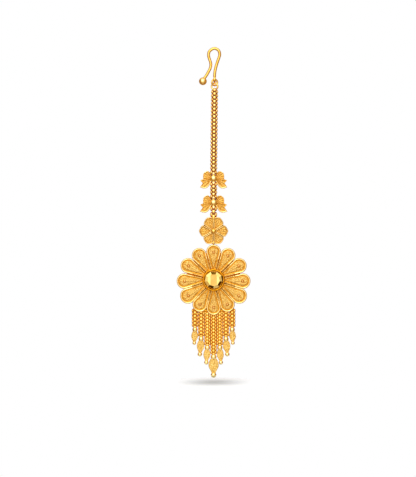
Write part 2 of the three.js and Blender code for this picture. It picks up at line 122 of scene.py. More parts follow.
# Facets that take a painted dark reflection, as row and place clockwise from the top right
PAINTED_DARK_FACETS = ((0, 8), (0, 2), (0, 4), (1, 1))
# The table's middle strip keeps the plain tone; other facets take a painted highlight or a painted dark
# reflection
TABLE_TONE, PAINTED_HIGHLIGHT_TONE, PAINTED_REFLECTION_TONE = 0, 1, 2

# Fringe
FRINGE_SPACING, FRINGE_WIDTH, FRINGE_DEPTH, FRINGE_END_DEPTH = 2.36, 2.48, 1.98, 1.0
HANGER_RADIUS, HANGER_WIDTH, HANGER_THICKNESS, HANGER_Y = 13.0, 2.2, 0.6, 0.58
HANGER_STEPS, HANGER_CHAMFER = 60, 0.06
HANGER_EYE_RADIUS, HANGER_EYE_WIRE, HANGER_EYE_DROP = 0.55, 0.4, 0.4
HANGER_EYE_STEPS, HANGER_EYE_SIDES = 28, 10
GRANULE, GRANULE_OUT = 1.1, 3.2
FINE_STEP, FINE_OVERLAP, FRINGE_TOP_REACH, FRINGE_REACH, CLEARANCE = 0.62, 0.05, 0.9, 0.65, 0.3
FINE_BARS, FINE_BANDS, FINE_SQUARENESS = (0.8, 0.38), (1.2, 0.9), 0.28
# FINE_SHADED faces each side of a facing link, and its ends past FINE_BRIGHT_SHARE, take painted shade
FINE_STEPS, FINE_SIDES, FINE_SHADED, FINE_BRIGHT_SHARE = 20, 12, 2, 0.3
FRINGE_LENGTH, DROP_BALL, LEAF_WIDTH, LEAF_LENGTH, END_BALL, SOLDER_SINK = 13.57, 2.2, 3.9, 5.5, 2.1, 0.36
# From the left to the middle, as shares of the middle drop, and the lean in degrees
DROP_ROWS = [
    {"chain": 0.385, "ball": 0.91, "width": 0.66, "length": 0.765, "end_ball": 0.67, "lean": 3},
    {"chain": 0.565, "ball": 0.91, "width": 0.73, "length": 0.865, "end_ball": 0.81, "lean": 5},
    {"chain": 0.76, "ball": 0.955, "width": 0.69, "length": 0.82, "end_ball": 0.79, "lean": 4},
    {"chain": 1.0, "ball": 1.0, "width": 1.0, "length": 1.0, "end_ball": 1.0, "lean": 0},
]
DROP_ROWS += [{**row, "lean": -row["lean"]} for row in reversed(DROP_ROWS[:-1])]
DROPS = [
    {
        "chain": row["chain"] * FRINGE_LENGTH,
        "ball": row["ball"] * DROP_BALL,
        "leaf_width": row["width"] * LEAF_WIDTH,
        "leaf_length": row["length"] * LEAF_LENGTH,
        "end_ball": row["end_ball"] * END_BALL,
        "lean": row["lean"],
    }
    for row in DROP_ROWS
]


# Materials

TONE_EDGES = 0.32, 0.68
DRIFT_DETAIL, GRAIN_DETAIL = 4, 3


def gold(name, light, deep, rough, grain_mm, bump, spread_mm=1.2, rough_spread=0.08):
    """Procedural gold: two tones drifting into each other, uneven gloss and a fine grain."""
    material = bpy.data.materials.new(name)
    material.use_nodes = True
    nodes, links = material.node_tree.nodes, material.node_tree.links
    shader = nodes["Principled BSDF"]
    shader.inputs["Metallic"].default_value = 1.0
    place = nodes.new("ShaderNodeTexCoord")
    drift = nodes.new("ShaderNodeTexNoise")
    drift.inputs["Scale"].default_value = 1 / (spread_mm * MM)
    drift.inputs["Detail"].default_value = DRIFT_DETAIL
    tone = nodes.new("ShaderNodeValToRGB")
    for element, position, colour in zip(tone.color_ramp.elements, TONE_EDGES, (deep, light)):
        element.position = position
        element.color = (*colour, 1)
    gloss = nodes.new("ShaderNodeMapRange")
    gloss.inputs["To Min"].default_value = rough - rough_spread
    gloss.inputs["To Max"].default_value = rough + rough_spread
    grain = nodes.new("ShaderNodeTexNoise")
    grain.inputs["Scale"].default_value = 1 / (grain_mm * MM)
    grain.inputs["Detail"].default_value = GRAIN_DETAIL
    relief = nodes.new("ShaderNodeBump")
    relief.inputs["Strength"].default_value = bump
    relief.inputs["Distance"].default_value = grain_mm * MM
    links.new(place.outputs["Object"], drift.inputs["Vector"])
    links.new(place.outputs["Object"], grain.inputs["Vector"])
    links.new(drift.outputs["Fac"], tone.inputs["Fac"])
    links.new(tone.outputs["Color"], shader.inputs["Base Color"])
    links.new(grain.outputs["Fac"], gloss.inputs["Value"])
    links.new(gloss.outputs["Result"], shader.inputs["Roughness"])
    links.new(grain.outputs["Fac"], relief.inputs["Height"])
    links.new(relief.outputs["Normal"], shader.inputs["Normal"])
    return material


# Light tone, deep tone, roughness, grain in millimetres and bump, then how far tone and roughness spread
WIRE_GOLD = gold("polished_wire", (0.92, 0.68, 0.19), (0.82, 0.54, 0.10), 0.17, 0.5, 0.05)
BALL_GOLD = gold("polished_ball", (1.0, 0.84, 0.42), (0.94, 0.72, 0.28), 0.14, 0.5, 0.04)
CHAIN_GOLD = gold("bright_chain", (1.0, 0.82, 0.32), (0.92, 0.64, 0.16), 0.2, 0.4, 0.06)
FRINGE_GOLD = gold("fringe_chain", (1.0, 0.76, 0.24), (0.86, 0.56, 0.11), 0.2, 0.4, 0.06)
RIM_GOLD = gold("polished_rim", (1.0, 0.84, 0.40), (0.90, 0.68, 0.24), 0.22, 0.3, 0.08)
# Painted shade: a dark orange gold laid in grooves, on walls and in hollows, where shade falls
GROOVE_SHADE_GOLD = gold("groove_painted_shade", (0.78, 0.42, 0.045), (0.60, 0.27, 0.015), 0.36, 0.2, 0.2)
# Painted shade: a dark gold on link ends, round the granules and on the flower plate's front, where shade
# falls between parts
CREVICE_SHADE_GOLD = gold("crevice_painted_shade", (0.62, 0.20, 0.006), (0.44, 0.12, 0.003), 0.4, 0.3, 0.1)
SHADE_GOLD = gold("fringe_painted_shade", (0.78, 0.36, 0.026), (0.60, 0.23, 0.01), 0.4, 0.3, 0.1)
SAND_GOLD = gold("sanded_pad", (0.94, 0.72, 0.26), (0.64, 0.38, 0.06), 0.44, 0.3, 1.0, 0.45, 0.12)
BEZEL_GOLD = gold("bezel", (0.88, 0.48, 0.02), (0.74, 0.34, 0.01), 0.26, 0.5, 0.05)
# Painted highlight and painted dark reflection: lit and shaded copies of one gold for the stone's facets
STONE_PAINTED_HIGHLIGHT = gold("stone_facet_painted_highlight", (0.96, 0.86, 0.36), (0.90, 0.72, 0.22), 0.4, 0.6, 0.02, 1.6, 0.03)
STONE_MID = gold("stone_table_facet", (0.74, 0.52, 0.155), (0.65, 0.41, 0.10), 0.42, 0.6, 0.02, 1.6, 0.03)
STONE_PAINTED_DARK = gold("stone_facet_painted_dark_reflection", (0.16, 0.08, 0.008), (0.08, 0.04, 0.003), 0.12, 0.6, 0.02, 1.6, 0.03)


# Mesh making

EDGE_ON = Matrix.Rotation(math.pi / 2, 4, "Z")
BALL_SIDES, BALL_ROWS, POLE_SHARE = 28, 16, 0.01
WIRE_SIDES = 16
LEAST_GAP = 1e-4
LATHE_SIDES, AXIS_RADIUS = 72, 0.02


class Form:
    """Collects points and faces in millimetres."""

    def __init__(self):
        self.points, self.faces, self.tones, self.flat = [], [], [], []

    def rings(self, rings, tones=0, closed=False, cap_start=True, cap_end=True, wrap=True):
        """Joins rows of equal length; tones is one material index, or one for each band."""
        start, width = len(self.points), len(rings[0])
        for ring in rings:
            self.points.extend(Vector(point) for point in ring)
        bands = len(rings) if closed else len(rings) - 1
        if isinstance(tones, int):
            tones = [tones] * bands
        for band in range(bands):
            low, high = start + band * width, start + (band + 1) % len(rings) * width
            for i in range(width if wrap else width - 1):
                j = (i + 1) % width
                self.add_face((low + i, low + j, high + j, high + i), tones[band])
        if cap_start and not closed:
            self.add_face(tuple(start + i for i in reversed(range(width))), tones[0])
        if cap_end and not closed:
            last = start + (len(rings) - 1) * width
            self.add_face(tuple(last + i for i in range(width)), tones[-1])

    def add_face(self, face, tone, flat=False):
        self.faces.append(face)
        self.tones.append(tone)
        self.flat.append(flat)

    def merge(self, other, matrix=Matrix()):
        """Adds another form, placed by the matrix."""
        start = len(self.points)
        self.points.extend(matrix @ point for point in other.points)
        self.faces.extend(tuple(start + i for i in face) for face in other.faces)
        self.tones.extend(other.tones)
        self.flat.extend(other.flat)


def finish_piece(name, form, materials, body, replaces=()):
    """Makes a form into an object and says its body and the CAD nodes whose place it takes."""
    mesh = bpy.data.meshes.new(name)
    mesh.from_pydata([tuple(point * MM) for point in form.points], [], form.faces)
    for material in materials:
        mesh.materials.append(material)
    for polygon, tone, flat in zip(mesh.polygons, form.tones, form.flat):
        polygon.material_index = tone
        polygon.use_smooth = not flat
    mesh.validate()
    piece = bpy.data.objects.new(name, mesh)
    bpy.context.collection.objects.link(piece)
    fix_normals(piece)
    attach(piece, body)
    if replaces:
        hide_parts(*replaces)


def fix_normals(piece):
    work = bmesh.new()
    work.from_mesh(piece.data)
    bmesh.ops.recalc_face_normals(work, faces=work.faces)
    work.to_mesh(piece.data)
    work.free()


def move(x=0.0, y=0.0, z=0.0):
    return Matrix.Translation((x, y, z))


def ball(diameter, sides=BALL_SIDES, rows=BALL_ROWS):
    radius, form = diameter / 2, Form()
    rings = []
    for row in range(rows + 1):
        angle = math.pi * max(POLE_SHARE, min(1 - POLE_SHARE, row / rows))
        rings.append([
            (radius * math.sin(angle) * math.cos(2 * math.pi * i / sides),
             radius * math.sin(angle) * math.sin(2 * math.pi * i / sides),
             radius * math.cos(angle))
            for i in range(sides)
        ])
    form.rings(rings)
    return form


def oval_ring(half_width, half_height, bars, bands, around, sides, square=1.0, power=1.0,
              end_share=math.inf):
    """A closed oval in the XZ plane. Bars and bands hold its thickness and depth at the sides and ends.

    A power under 1 draws the oval out towards a rectangle; a square under 1 does it to the bar's section.
    Past end_share of the half height, towards the ends, it takes the second material, painted shade where a
    link dives into its neighbours.
    """
    bar_side, bar_end = bars
    form, rings, centres = Form(), [], []
    for i in range(around):
        angle = 2 * math.pi * i / around
        sine, cosine = math.sin(angle), math.cos(angle)
        centres.append(Vector((
            (half_width - bar_side / 2) * math.copysign(abs(sine) ** power, sine), 0,
            (half_height - bar_end / 2) * math.copysign(abs(cosine) ** power, cosine),
        )))
    for i, centre in enumerate(centres):
        ahead = centres[(i + 1) % around] - centres[i - 1]
        outward = Vector((-ahead.z, 0, ahead.x)).normalized()
        if outward.dot(centre) < 0:
            outward = -outward
        swell = (centre.x / (half_width - bar_side / 2)) ** 2
        bar = bar_end + (bar_side - bar_end) * swell
        band = bands[1] + (bands[0] - bands[1]) * swell
        ring = []
        for j in range(sides):
            turn = 2 * math.pi * j / sides
            across, along = math.cos(turn), math.sin(turn)
            across = math.copysign(abs(across) ** square, across)
            along = math.copysign(abs(along) ** square, along)
            ring.append(centre + outward * (across * bar / 2) + Vector((0, along * band / 2, 0)))
        rings.append(ring)
    middles = [abs(math.cos(2 * math.pi * (i + 0.5) / around)) for i in range(around)]
    form.rings(rings, [1 if middle > end_share else 0 for middle in middles], closed=True)
    return form


def round_ring(radius, wire, around=RING_STEPS, sides=RING_SIDES):
    return oval_ring(radius + wire / 2, radius + wire / 2, (wire, wire), (wire, wire), around, sides)


def wire_along(points, wire, sides=WIRE_SIDES):
    """A round wire whose points lie in one plane of constant Y."""
    form, rings = Form(), []
    for i, point in enumerate(points):
        ahead = points[min(i + 1, len(points) - 1)] - points[max(i - 1, 0)]
        side = Vector((-ahead.z, 0, ahead.x)).normalized()
        rings.append([
            point + side * (math.cos(turn) * wire / 2) + Vector((0, math.sin(turn) * wire / 2, 0))
            for turn in (2 * math.pi * j / sides for j in range(sides))
        ])
    form.rings(rings)
    return form


def smooth_path(points, steps):
    """Centripetal Catmull-Rom through the points."""
    path = []
    ends = [points[0] * 2 - points[1], *points, points[-1] * 2 - points[-2]]
    for before, start, stop, after in zip(ends, ends[1:], ends[2:], ends[3:]):
        pairs = ((before, start), (start, stop), (stop, after))
        gaps = [max(LEAST_GAP, (b - a).length ** 0.5) for a, b in pairs]
        t1 = (start - before) / gaps[0] - (stop - before) / (gaps[0] + gaps[1]) + (stop - start) / gaps[1]
        t2 = (stop - start) / gaps[1] - (after - start) / (gaps[1] + gaps[2]) + (after - stop) / gaps[2]
        t1, t2 = t1 * gaps[1], t2 * gaps[1]
        for step in range(steps):
            u = step / steps
            path.append(
                start * (2 * u ** 3 - 3 * u ** 2 + 1) + t1 * (u ** 3 - 2 * u ** 2 + u)
                + stop * (3 * u ** 2 - 2 * u ** 3) + t2 * (u ** 3 - u ** 2)
            )
    path.append(points[-1])
    return path


# Hook and rings

HOOK_SMOOTHING = 10
# The hook's bend from the foot up and over to the ball, as shares of its half width and of the ball's drop
HOOK_ROUTE = [
    (0.28, 0.63), (0.44, 0.506), (0.66, 0.372), (0.89, 0.25), (1.01, 0.164), (0.95, 0.066), (0.66, -0.01),
    (0.12, -0.046), (-0.36, -0.01), (-0.75, 0.066), (-0.84, 0.157), (-0.75, 0.262), (-0.55, 0.372),
    (-0.46, 0.482), (-0.58, 0.592), (-0.87, 0.702), (-1.19, 0.812), (-1.45, 0.883),
]


def make_hook():
    stem_top = -HOOK_LENGTH + HOOK_EYE_RADIUS
    points = [Vector((HOOK_STEM_X, 0, stem_top)), Vector((HOOK_STEM_X, 0, stem_top + HOOK_EYE_RADIUS))]
    points += [Vector((across * HOOK_HALF_WIDTH, 0, -down * HOOK_BALL_DOWN)) for across, down in HOOK_ROUTE]
    points.append(Vector((-HOOK_BALL_OUT, 0, -HOOK_BALL_DOWN)))
    hook = wire_along(smooth_path(points, HOOK_SMOOTHING), HOOK_WIRE)
    end_ball = ball(HOOK_BALL)
    end_ball.tones = [1] * len(end_ball.tones)
    hook.merge(end_ball, move(-HOOK_BALL_OUT, 0, -HOOK_BALL_DOWN))
    reach = HOOK_EYE_RADIUS + HOOK_EYE_WIRE / 2
    bars, bands = (HOOK_EYE_WIRE, HOOK_EYE_WIRE), (HOOK_EYE_BAND, HOOK_EYE_BAND)
    loop = oval_ring(reach, reach, bars, bands, RING_STEPS, RING_SIDES)
    hook.merge(loop, move(HOOK_STEM_X, 0, -HOOK_LENGTH) @ EDGE_ON)
    finish_piece("hair_hook_wire", hook, [WIRE_GOLD, BALL_GOLD], STRAND, ["hair_hook"])
    ring = Form()
    turn = Matrix.Rotation(RING_TURN, 4, "Z")
    ring.merge(round_ring(JUMP_RING_RADIUS, JUMP_RING_WIRE), move(HOOK_STEM_X, 0, JUMP_RING_Z) @ turn)
    finish_piece("jump_ring_wire", ring, [WIRE_GOLD], STRAND, ["hook_jump_ring"])


# Chains

def link(half_width, half_height, bars, bands, around=LINK_STEPS, sides=LINK_SIDES,
         bright=LINK_BRIGHT_SHARE, power=LINK_SQUARENESS):
    return oval_ring(half_width, half_height, bars, bands, around, sides, LINK_SECTION_SQUARENESS, power,
                     bright)


def chain_form(top_x, top_z, bottom_z, top_takes_eye):
    """Links facing and edge-on by turns. The last one faces, and so does a first one that takes an eye."""
    even_steps = (top_z - bottom_z) / LINK_STEP
    if top_takes_eye:
        count = 2 * max(1, round(even_steps / 2))
    else:
        count = 2 * round((even_steps - 1) / 2) + 1
    step = (top_z - bottom_z) / count
    half_height = (step - LINK_OVERLAP) / 2 + LINK_BARS[1]
    form = Form()
    for i in range(count + 1):
        top_extra = END_LINK_EXTRA / 2 if i == 0 and top_takes_eye else 0
        bottom_extra = END_LINK_EXTRA / 2 if i == count else 0
        extra = top_extra + bottom_extra
        one = link(LINK_WIDTH / 2, half_height + extra, (LINK_BARS[0], LINK_BARS[1] + extra), LINK_BANDS)
        turn = Matrix() if (count - i) % 2 == 0 else EDGE_ON
        x = top_x * (1 - i / count)
        form.merge(one, move(x, 0, top_z - i * step + top_extra - bottom_extra) @ turn)
    return form


def make_main_chain():
    upper = chain_form(HOOK_STEM_X, CHAIN_TOP_Z, UPPER_WING_Z + WING_EYE_Z, False)
    turn = Matrix.Rotation(-RING_TURN, 4, "Z")
    upper.merge(round_ring(END_RING_RADIUS, END_RING_WIRE), move(HOOK_STEM_X, 0, END_RING_Z) @ turn)
    middle = chain_form(0, UPPER_WING_Z - WING_EYE_Z, LOWER_WING_Z + WING_EYE_Z, True)
    lower = chain_form(0, LOWER_WING_Z - WING_EYE_Z, SMALL_FLOWER_Z + SMALL_TOP_RISE + END_LINK_REACH, True)
    for name, form in (("upper", upper), ("middle", middle), ("lower", lower)):
        finish_piece(f"chain_links_{name}", form, [CHAIN_GOLD, CREVICE_SHADE_GOLD], STRAND,
                     [f"main_chain_{name}"])


def eye(face_z, direction, root=EYE_ROOT):
    """An edge-on eye that stands up from a height, or hangs down where the direction is -1."""
    reach = EYE_REACH + EYE_FILL
    radius = (reach + root) / 2
    half_depth = LINK_BAND / 2 + EYE_GAP + EYE_WIRE / 2
    bars, bands = (EYE_WIRE, EYE_WIRE), (EYE_BAND, EYE_BAND)
    loop = oval_ring(half_depth + EYE_WIRE / 2, radius + EYE_WIRE / 2, bars, bands, LINK_STEPS, LINK_SIDES,
                     LINK_SECTION_SQUARENESS)
    form = Form()
    form.merge(loop, move(0, 0, face_z + direction * (reach - radius)) @ EDGE_ON)
    return form


# Petals

# Points on one side of a petal, the share of a step that is cut from the round to the tip, the least half
# width at the root, columns across the pad, and the rows over which its dome rises from root and tip
PETAL_POINTS, TIP_CUT, LEAST_ROOT = 26, 0.6, 0.04
PAD_COLUMNS, PAD_ROOT_ROWS, PAD_TIP_ROWS = 24, 3, 5


def petal_ring(size, inset, y, point):
    """Outline of a petal that points up, drawn in by inset: right side up to the tip, then the left side."""
    root, shoulder, tip, half_angle, seam = size
    side = seam + inset / math.cos(half_angle)
    root = root + inset
    root_half = max(root * math.tan(half_angle) - side, LEAST_ROOT)
    half_width = shoulder * math.tan(half_angle) - side
    right = []
    straight = PETAL_POINTS // 2
    curved = PETAL_POINTS - straight
    for i in range(straight):
        u = i / straight
        right.append((root_half + (half_width - root_half) * u, root + (shoulder - root) * u))
    for i in range(curved):
        angle = (math.pi / 2) * (i / (curved - TIP_CUT))
        rise = (tip - inset - shoulder) * math.sin(angle)
        right.append((half_width * math.cos(angle) ** point, shoulder + rise))
    return [Vector((x, y, z)) for x, z in right] + [Vector((-x, y, z)) for x, z in reversed(right)]


def petal_form(size, profile, tones, pad, point=1.0, stripes=0, matt_root=0):
    """Rings from the back edge over the rim and the groove to the pad, then rows across the pad.

    The rim turns matt over matt_root faces up each side, and one column in stripes of the pad takes the
    second material, as dark stripes of painted shade.
    """
    dome, ribs, rib_height = pad
    form = Form()
    rings = [petal_ring(size, inset, y, point) for inset, y in profile]
    form.rings(rings, tones, cap_end=False)
    width = len(rings[0])
    for band in range(len(rings) - 1):
        for i in (*range(matt_root), *range(width - 1 - matt_root, width)):
            if form.tones[band * width + i] == 0:
                form.tones[band * width + i] = 2
    edge = rings[-1]
    half = len(edge) // 2
    rows = []
    for i in range(half):
        right, left = edge[i], edge[len(edge) - 1 - i]
        end_fall = min(1.0, i / PAD_ROOT_ROWS, (half - 1 - i) / PAD_TIP_ROWS)
        row = []
        for column in range(PAD_COLUMNS + 1):
            u = 2 * column / PAD_COLUMNS - 1
            spot = left.lerp(right, column / PAD_COLUMNS)
            spot.y -= (dome * (1 - u * u) + rib_height * math.cos(ribs * math.pi * u)) * end_fall
            row.append(spot)
        rows.append(row)
    form.rings(rows, 2, cap_start=False, cap_end=False, wrap=False)
    if stripes:
        first = len(form.tones) - (half - 1) * PAD_COLUMNS
        for row in range(half - 1):
            for column in range(PAD_COLUMNS):
                if column % stripes == stripes // 2:
                    form.tones[first + row * PAD_COLUMNS + column] = 1
    return form


# Main flower

# Inset from the petal's edge and depth, from the back over the rim to the pad, with one tone a band; tone 1
# is painted shade on the petal's outer wall and in its groove
MAIN_PROFILE = [
    (0.0, PLATE / 2), (0.0, -0.45), (0.07, -0.7), (0.15, -0.85), (0.29, -0.9), (0.45, -0.88), (0.57, -0.78),
    (0.64, -0.62), (0.68, -0.58), (0.94, -0.56), (1.0, -0.6), (1.06, -0.68),
]
MAIN_TONES = [1, 1, 0, 0, 0, 0, 1, 1, 1, 1, 2]
# Rise of the pad's dome, its ribs and their height
MAIN_PAD = 0.16, 3, 0.04
# Petals from the top down one side: lean in degrees below the even spacing, reach as a share of the ellipse
PETAL_ROWS = [(0, 1.0), (0.5, 1.0), (1, 1.0), (2.5, 0.995), (2, 1.04), (1, 1.0), (0, 1.0)]


def petal_place(i):
    left_side = i > FLOWER_PETALS / 2
    lean, reach = PETAL_ROWS[FLOWER_PETALS - i if left_side else i]
    angle = 2 * math.pi * i / FLOWER_PETALS + math.radians(-lean if left_side else lean)
    ellipse = 1 / math.hypot(math.sin(angle) / FLOWER_HALF_WIDTH, math.cos(angle) / FLOWER_HALF_HEIGHT)
    return angle, ellipse * reach


def make_main_flower():
    half_angle = math.pi / FLOWER_PETALS
    petals, granules = Form(), Form()
    for i in range(FLOWER_PETALS):
        angle, tip = petal_place(i)
        size = (PETAL_ROOT, tip * SHOULDER_SHARE, tip, half_angle, PETAL_SEAM)
        turn = Matrix.Rotation(angle, 4, "Y")
        one = petal_form(size, MAIN_PROFILE, MAIN_TONES, MAIN_PAD, matt_root=MATT_ROOT)
        petals.merge(one, move(0, 0, FLOWER_Z) @ turn)
        granule_place = move(0, 0, FLOWER_Z) @ turn @ move(0, PETAL_GRANULE_Y, tip * PETAL_GRANULE_SHARE)
        granules.merge(ball(PETAL_GRANULE, GRANULE_SIDES, GRANULE_ROWS), granule_place)
        ring = round_ring(GRANULE_RING_RADIUS, GRANULE_RING_WIRE, GRANULE_RING_STEPS, GRANULE_RING_SIDES)
        # The ring round each granule takes painted shade
        ring.tones = [1] * len(ring.tones)
        granules.merge(ring, granule_place)
    finish_piece("flower_petals", petals, [RIM_GOLD, GROOVE_SHADE_GOLD, SAND_GOLD], PENDANT,
                 ["main_flower"])
    finish_piece("flower_granules", granules, [RIM_GOLD, CREVICE_SHADE_GOLD], PENDANT)
    make_flower_back()
    make_bezel_and_stone()


def lathe_y(profile, sides=LATHE_SIDES, tones=0):
    """Turns a closed profile of (radius, y) about the Y axis."""
    form = Form()
    form.rings([
        [(radius * math.sin(2 * math.pi * i / sides), y, radius * math.cos(2 * math.pi * i / sides))
         for i in range(sides)]
        for radius, y in profile
    ], tones)
    return form


# Radius and depth of the back plate's outline, plain gold behind and painted shade in front, where it shows
# between the petals
BACK_PLATE_PROFILE = [
    (AXIS_RADIUS, 0.52), (10.3, 0.52), (10.5, 0.44), (10.5, 0.0), (10.4, -0.08), (AXIS_RADIUS, -0.08),
]
BACK_PLATE_TONES = [0, 0, 0, 2, 2]


def make_flower_back():
    plate = lathe_y(BACK_PLATE_PROFILE, tones=BACK_PLATE_TONES)
    back = Form()
    back.merge(plate, move(0, 0, FLOWER_Z))
    back.merge(round_ring(HINGE_RING_RADIUS, HINGE_RING_WIRE), move(0, 0, HINGE_Z) @ EDGE_ON)
    reach = (len(DROPS) - 1) / 2 * FRINGE_SPACING
    half_angle = math.asin((reach + HANGER_EYE_RADIUS) / HANGER_RADIUS)
    inner = HANGER_RADIUS - HANGER_WIDTH
    front, rear = HANGER_Y - HANGER_THICKNESS / 2, HANGER_Y + HANGER_THICKNESS / 2
    section = [(inner, front), (HANGER_RADIUS - HANGER_CHAMFER, front),
               (HANGER_RADIUS, front + HANGER_CHAMFER), (HANGER_RADIUS, rear), (inner, rear)]
    bow = Form()
    bow.rings([
        [(math.sin(angle) * radius, y, FLOWER_Z - math.cos(angle) * radius) for radius, y in section]
        for angle in (half_angle * (2 * i / HANGER_STEPS - 1) for i in range(HANGER_STEPS + 1))
    ])
    # The bow behind the petals takes painted shade
    bow.tones = [1] * len(bow.tones)
    back.merge(bow)
    for i in range(len(DROPS)):
        loop = round_ring(HANGER_EYE_RADIUS, HANGER_EYE_WIRE, HANGER_EYE_STEPS, HANGER_EYE_SIDES)
        back.merge(loop, move(fringe_x(i), HANGER_Y, hanger_eye_z(i)))
    granule_z = FLOWER_Z - math.sqrt(HANGER_RADIUS ** 2 - GRANULE_OUT ** 2)
    for side in (-1, 1):
        back.merge(ball(GRANULE), move(side * GRANULE_OUT, front, granule_z))
    finish_piece("flower_back_and_hanger", back, [WIRE_GOLD, GROOVE_SHADE_GOLD, CREVICE_SHADE_GOLD], PENDANT)


BEZEL_FACE = -PLATE / 2 + BEZEL_SINK
BEZEL_TOP = BEZEL_FACE - BEZEL_HEIGHT
BEZEL_INNER = BEZEL_RADIUS - BEZEL_WALL
# Radius and depth of the bezel's outline: up the outside, over the lip and down to the stone's seat
BEZEL_PROFILE = [
    (AXIS_RADIUS, BEZEL_FACE), (BEZEL_RADIUS, BEZEL_FACE), (BEZEL_RADIUS, BEZEL_FACE - 0.9),
    (BEZEL_RADIUS - 0.05, BEZEL_FACE - 1.2), (BEZEL_RADIUS - 0.15, BEZEL_TOP + 0.3),
    (BEZEL_RADIUS - 0.3, BEZEL_TOP + 0.08), (BEZEL_RADIUS - 0.42, BEZEL_TOP),
    (BEZEL_INNER + 0.06, BEZEL_TOP + 0.03), (BEZEL_INNER, BEZEL_TOP + 0.12),
    (BEZEL_INNER, BEZEL_FACE - 0.5), (AXIS_RADIUS, BEZEL_FACE - 0.5),
]


def make_bezel_and_stone():
    seat = Form()
    seat.merge(lathe_y(BEZEL_PROFILE), move(0, 0, FLOWER_Z))
    finish_piece("flower_bezel", seat, [BEZEL_GOLD], PENDANT)
    finish_piece("stone_facets", make_stone(), [STONE_MID, STONE_PAINTED_HIGHLIGHT, STONE_PAINTED_DARK], PENDANT,
                 ["centre_stone"])


# Edges of the table, as corners clockwise from the top right, that the lines between its strips cut
TABLE_CUTS = ((0, 1), (3, 4), (5, 4), (8, 7))


def make_stone():
    """Cut stone: a table in three strips, a crown of two rows and a pavilion, all with flat facets. The side
    strips and most facets take a painted highlight, some a painted dark reflection.
    """
    girdle = BEZEL_TOP + STONE_SINK
    turn = math.pi / STONE_SIDES
    rows = [
        stone_row(STONE_RADIUS * STONE_TABLE, girdle - STONE_CROWN, turn),
        stone_row(STONE_RADIUS * STONE_STAR, girdle - STONE_CROWN * STONE_STAR_RISE, turn),
        stone_row(STONE_RADIUS, girdle, turn),
        stone_row(STONE_RADIUS * STONE_CULET, girdle + STONE_PAVILION, turn),
    ]
    form = Form()
    form.points = [point for row in rows for point in row]
    for row in range(len(rows) - 1):
        for i in range(STONE_SIDES):
            j = (i + 1) % STONE_SIDES
            low, high = row * STONE_SIDES, (row + 1) * STONE_SIDES
            tone = PAINTED_REFLECTION_TONE if (row, i) in PAINTED_DARK_FACETS else PAINTED_HIGHLIGHT_TONE
            form.add_face((low + i, low + j, high + j, high + i), tone, True)
    last = (len(rows) - 1) * STONE_SIDES
    form.add_face(tuple(range(last, last + STONE_SIDES)), TABLE_TONE, True)
    corners = form.points[:STONE_SIDES]
    cuts = []
    for start, stop in TABLE_CUTS:
        share = (STRIP_HALF - abs(corners[start].x)) / (abs(corners[stop].x) - abs(corners[start].x))
        cuts.append(len(form.points))
        form.points.append(corners[start].lerp(corners[stop], share))
    right_top, right_foot, left_foot, left_top = cuts
    form.add_face((right_top, 1, 2, 3, right_foot), PAINTED_HIGHLIGHT_TONE, True)
    form.add_face((8, 0, right_top, right_foot, 4, left_foot, left_top), TABLE_TONE, True)
    form.add_face((left_foot, 5, 6, 7, left_top), PAINTED_HIGHLIGHT_TONE, True)
    return form


def stone_row(radius, y, turn):
    """Corners of one row, clockwise from the top right."""
    return [
        Vector((radius * math.sin(2 * math.pi * i / STONE_SIDES + turn), y,
                FLOWER_Z + radius * math.cos(2 * math.pi * i / STONE_SIDES + turn)))
        for i in range(STONE_SIDES)
    ]


# Small flower

# Inset from the petal's edge and depth, with one tone a band, as for the main flower; tone 1 is painted
# shade on the wall and in the groove
SMALL_PROFILE = [
    (0.0, PLATE / 2), (0.0, -0.5), (0.05, -0.72), (0.12, -0.84), (0.27, -0.84), (0.37, -0.66), (0.45, -0.46),
    (0.52, -0.46),
]
SMALL_TONES = [1, 1, 0, 0, 0, 1, 1]
# Rise of the pad's dome, its ribs and their height, and columns from one dark stripe of painted shade to the
# next
SMALL_PAD, SMALL_STRIPES = (0.2, 4, 0.07), 5
# Petals clockwise from the top right: how far the tip is drawn sideways, how pointed it is and its reach
SMALL_ROWS = [
    (-0.45, 1.4, 1.0), (0, 1.9, 1.0), (0.05, 1.4, 0.97), (-0.05, 1.4, 0.97), (0, 1.9, 1.0), (0.45, 1.4, 1.0),
]
# Height from which the tip is drawn sideways
SMALL_BEND = 2.0
SMALL_DISC_PROFILE = [(AXIS_RADIUS, 0.5), (4.2, 0.5), (4.3, 0.4), (4.3, -0.2), (AXIS_RADIUS, -0.2)]
# The disc's edge and front take painted shade, where it shows between the petals
SMALL_DISC_TONES, SMALL_DISC_SIDES = [0, 0, 1, 1], 48
HINGE_BAR_PROFILE = [
    (AXIS_RADIUS, -HINGE_BAR_HALF), (HINGE_BAR / 2, -HINGE_BAR_HALF), (HINGE_BAR / 2, HINGE_BAR_HALF),
    (AXIS_RADIUS, HINGE_BAR_HALF),
]


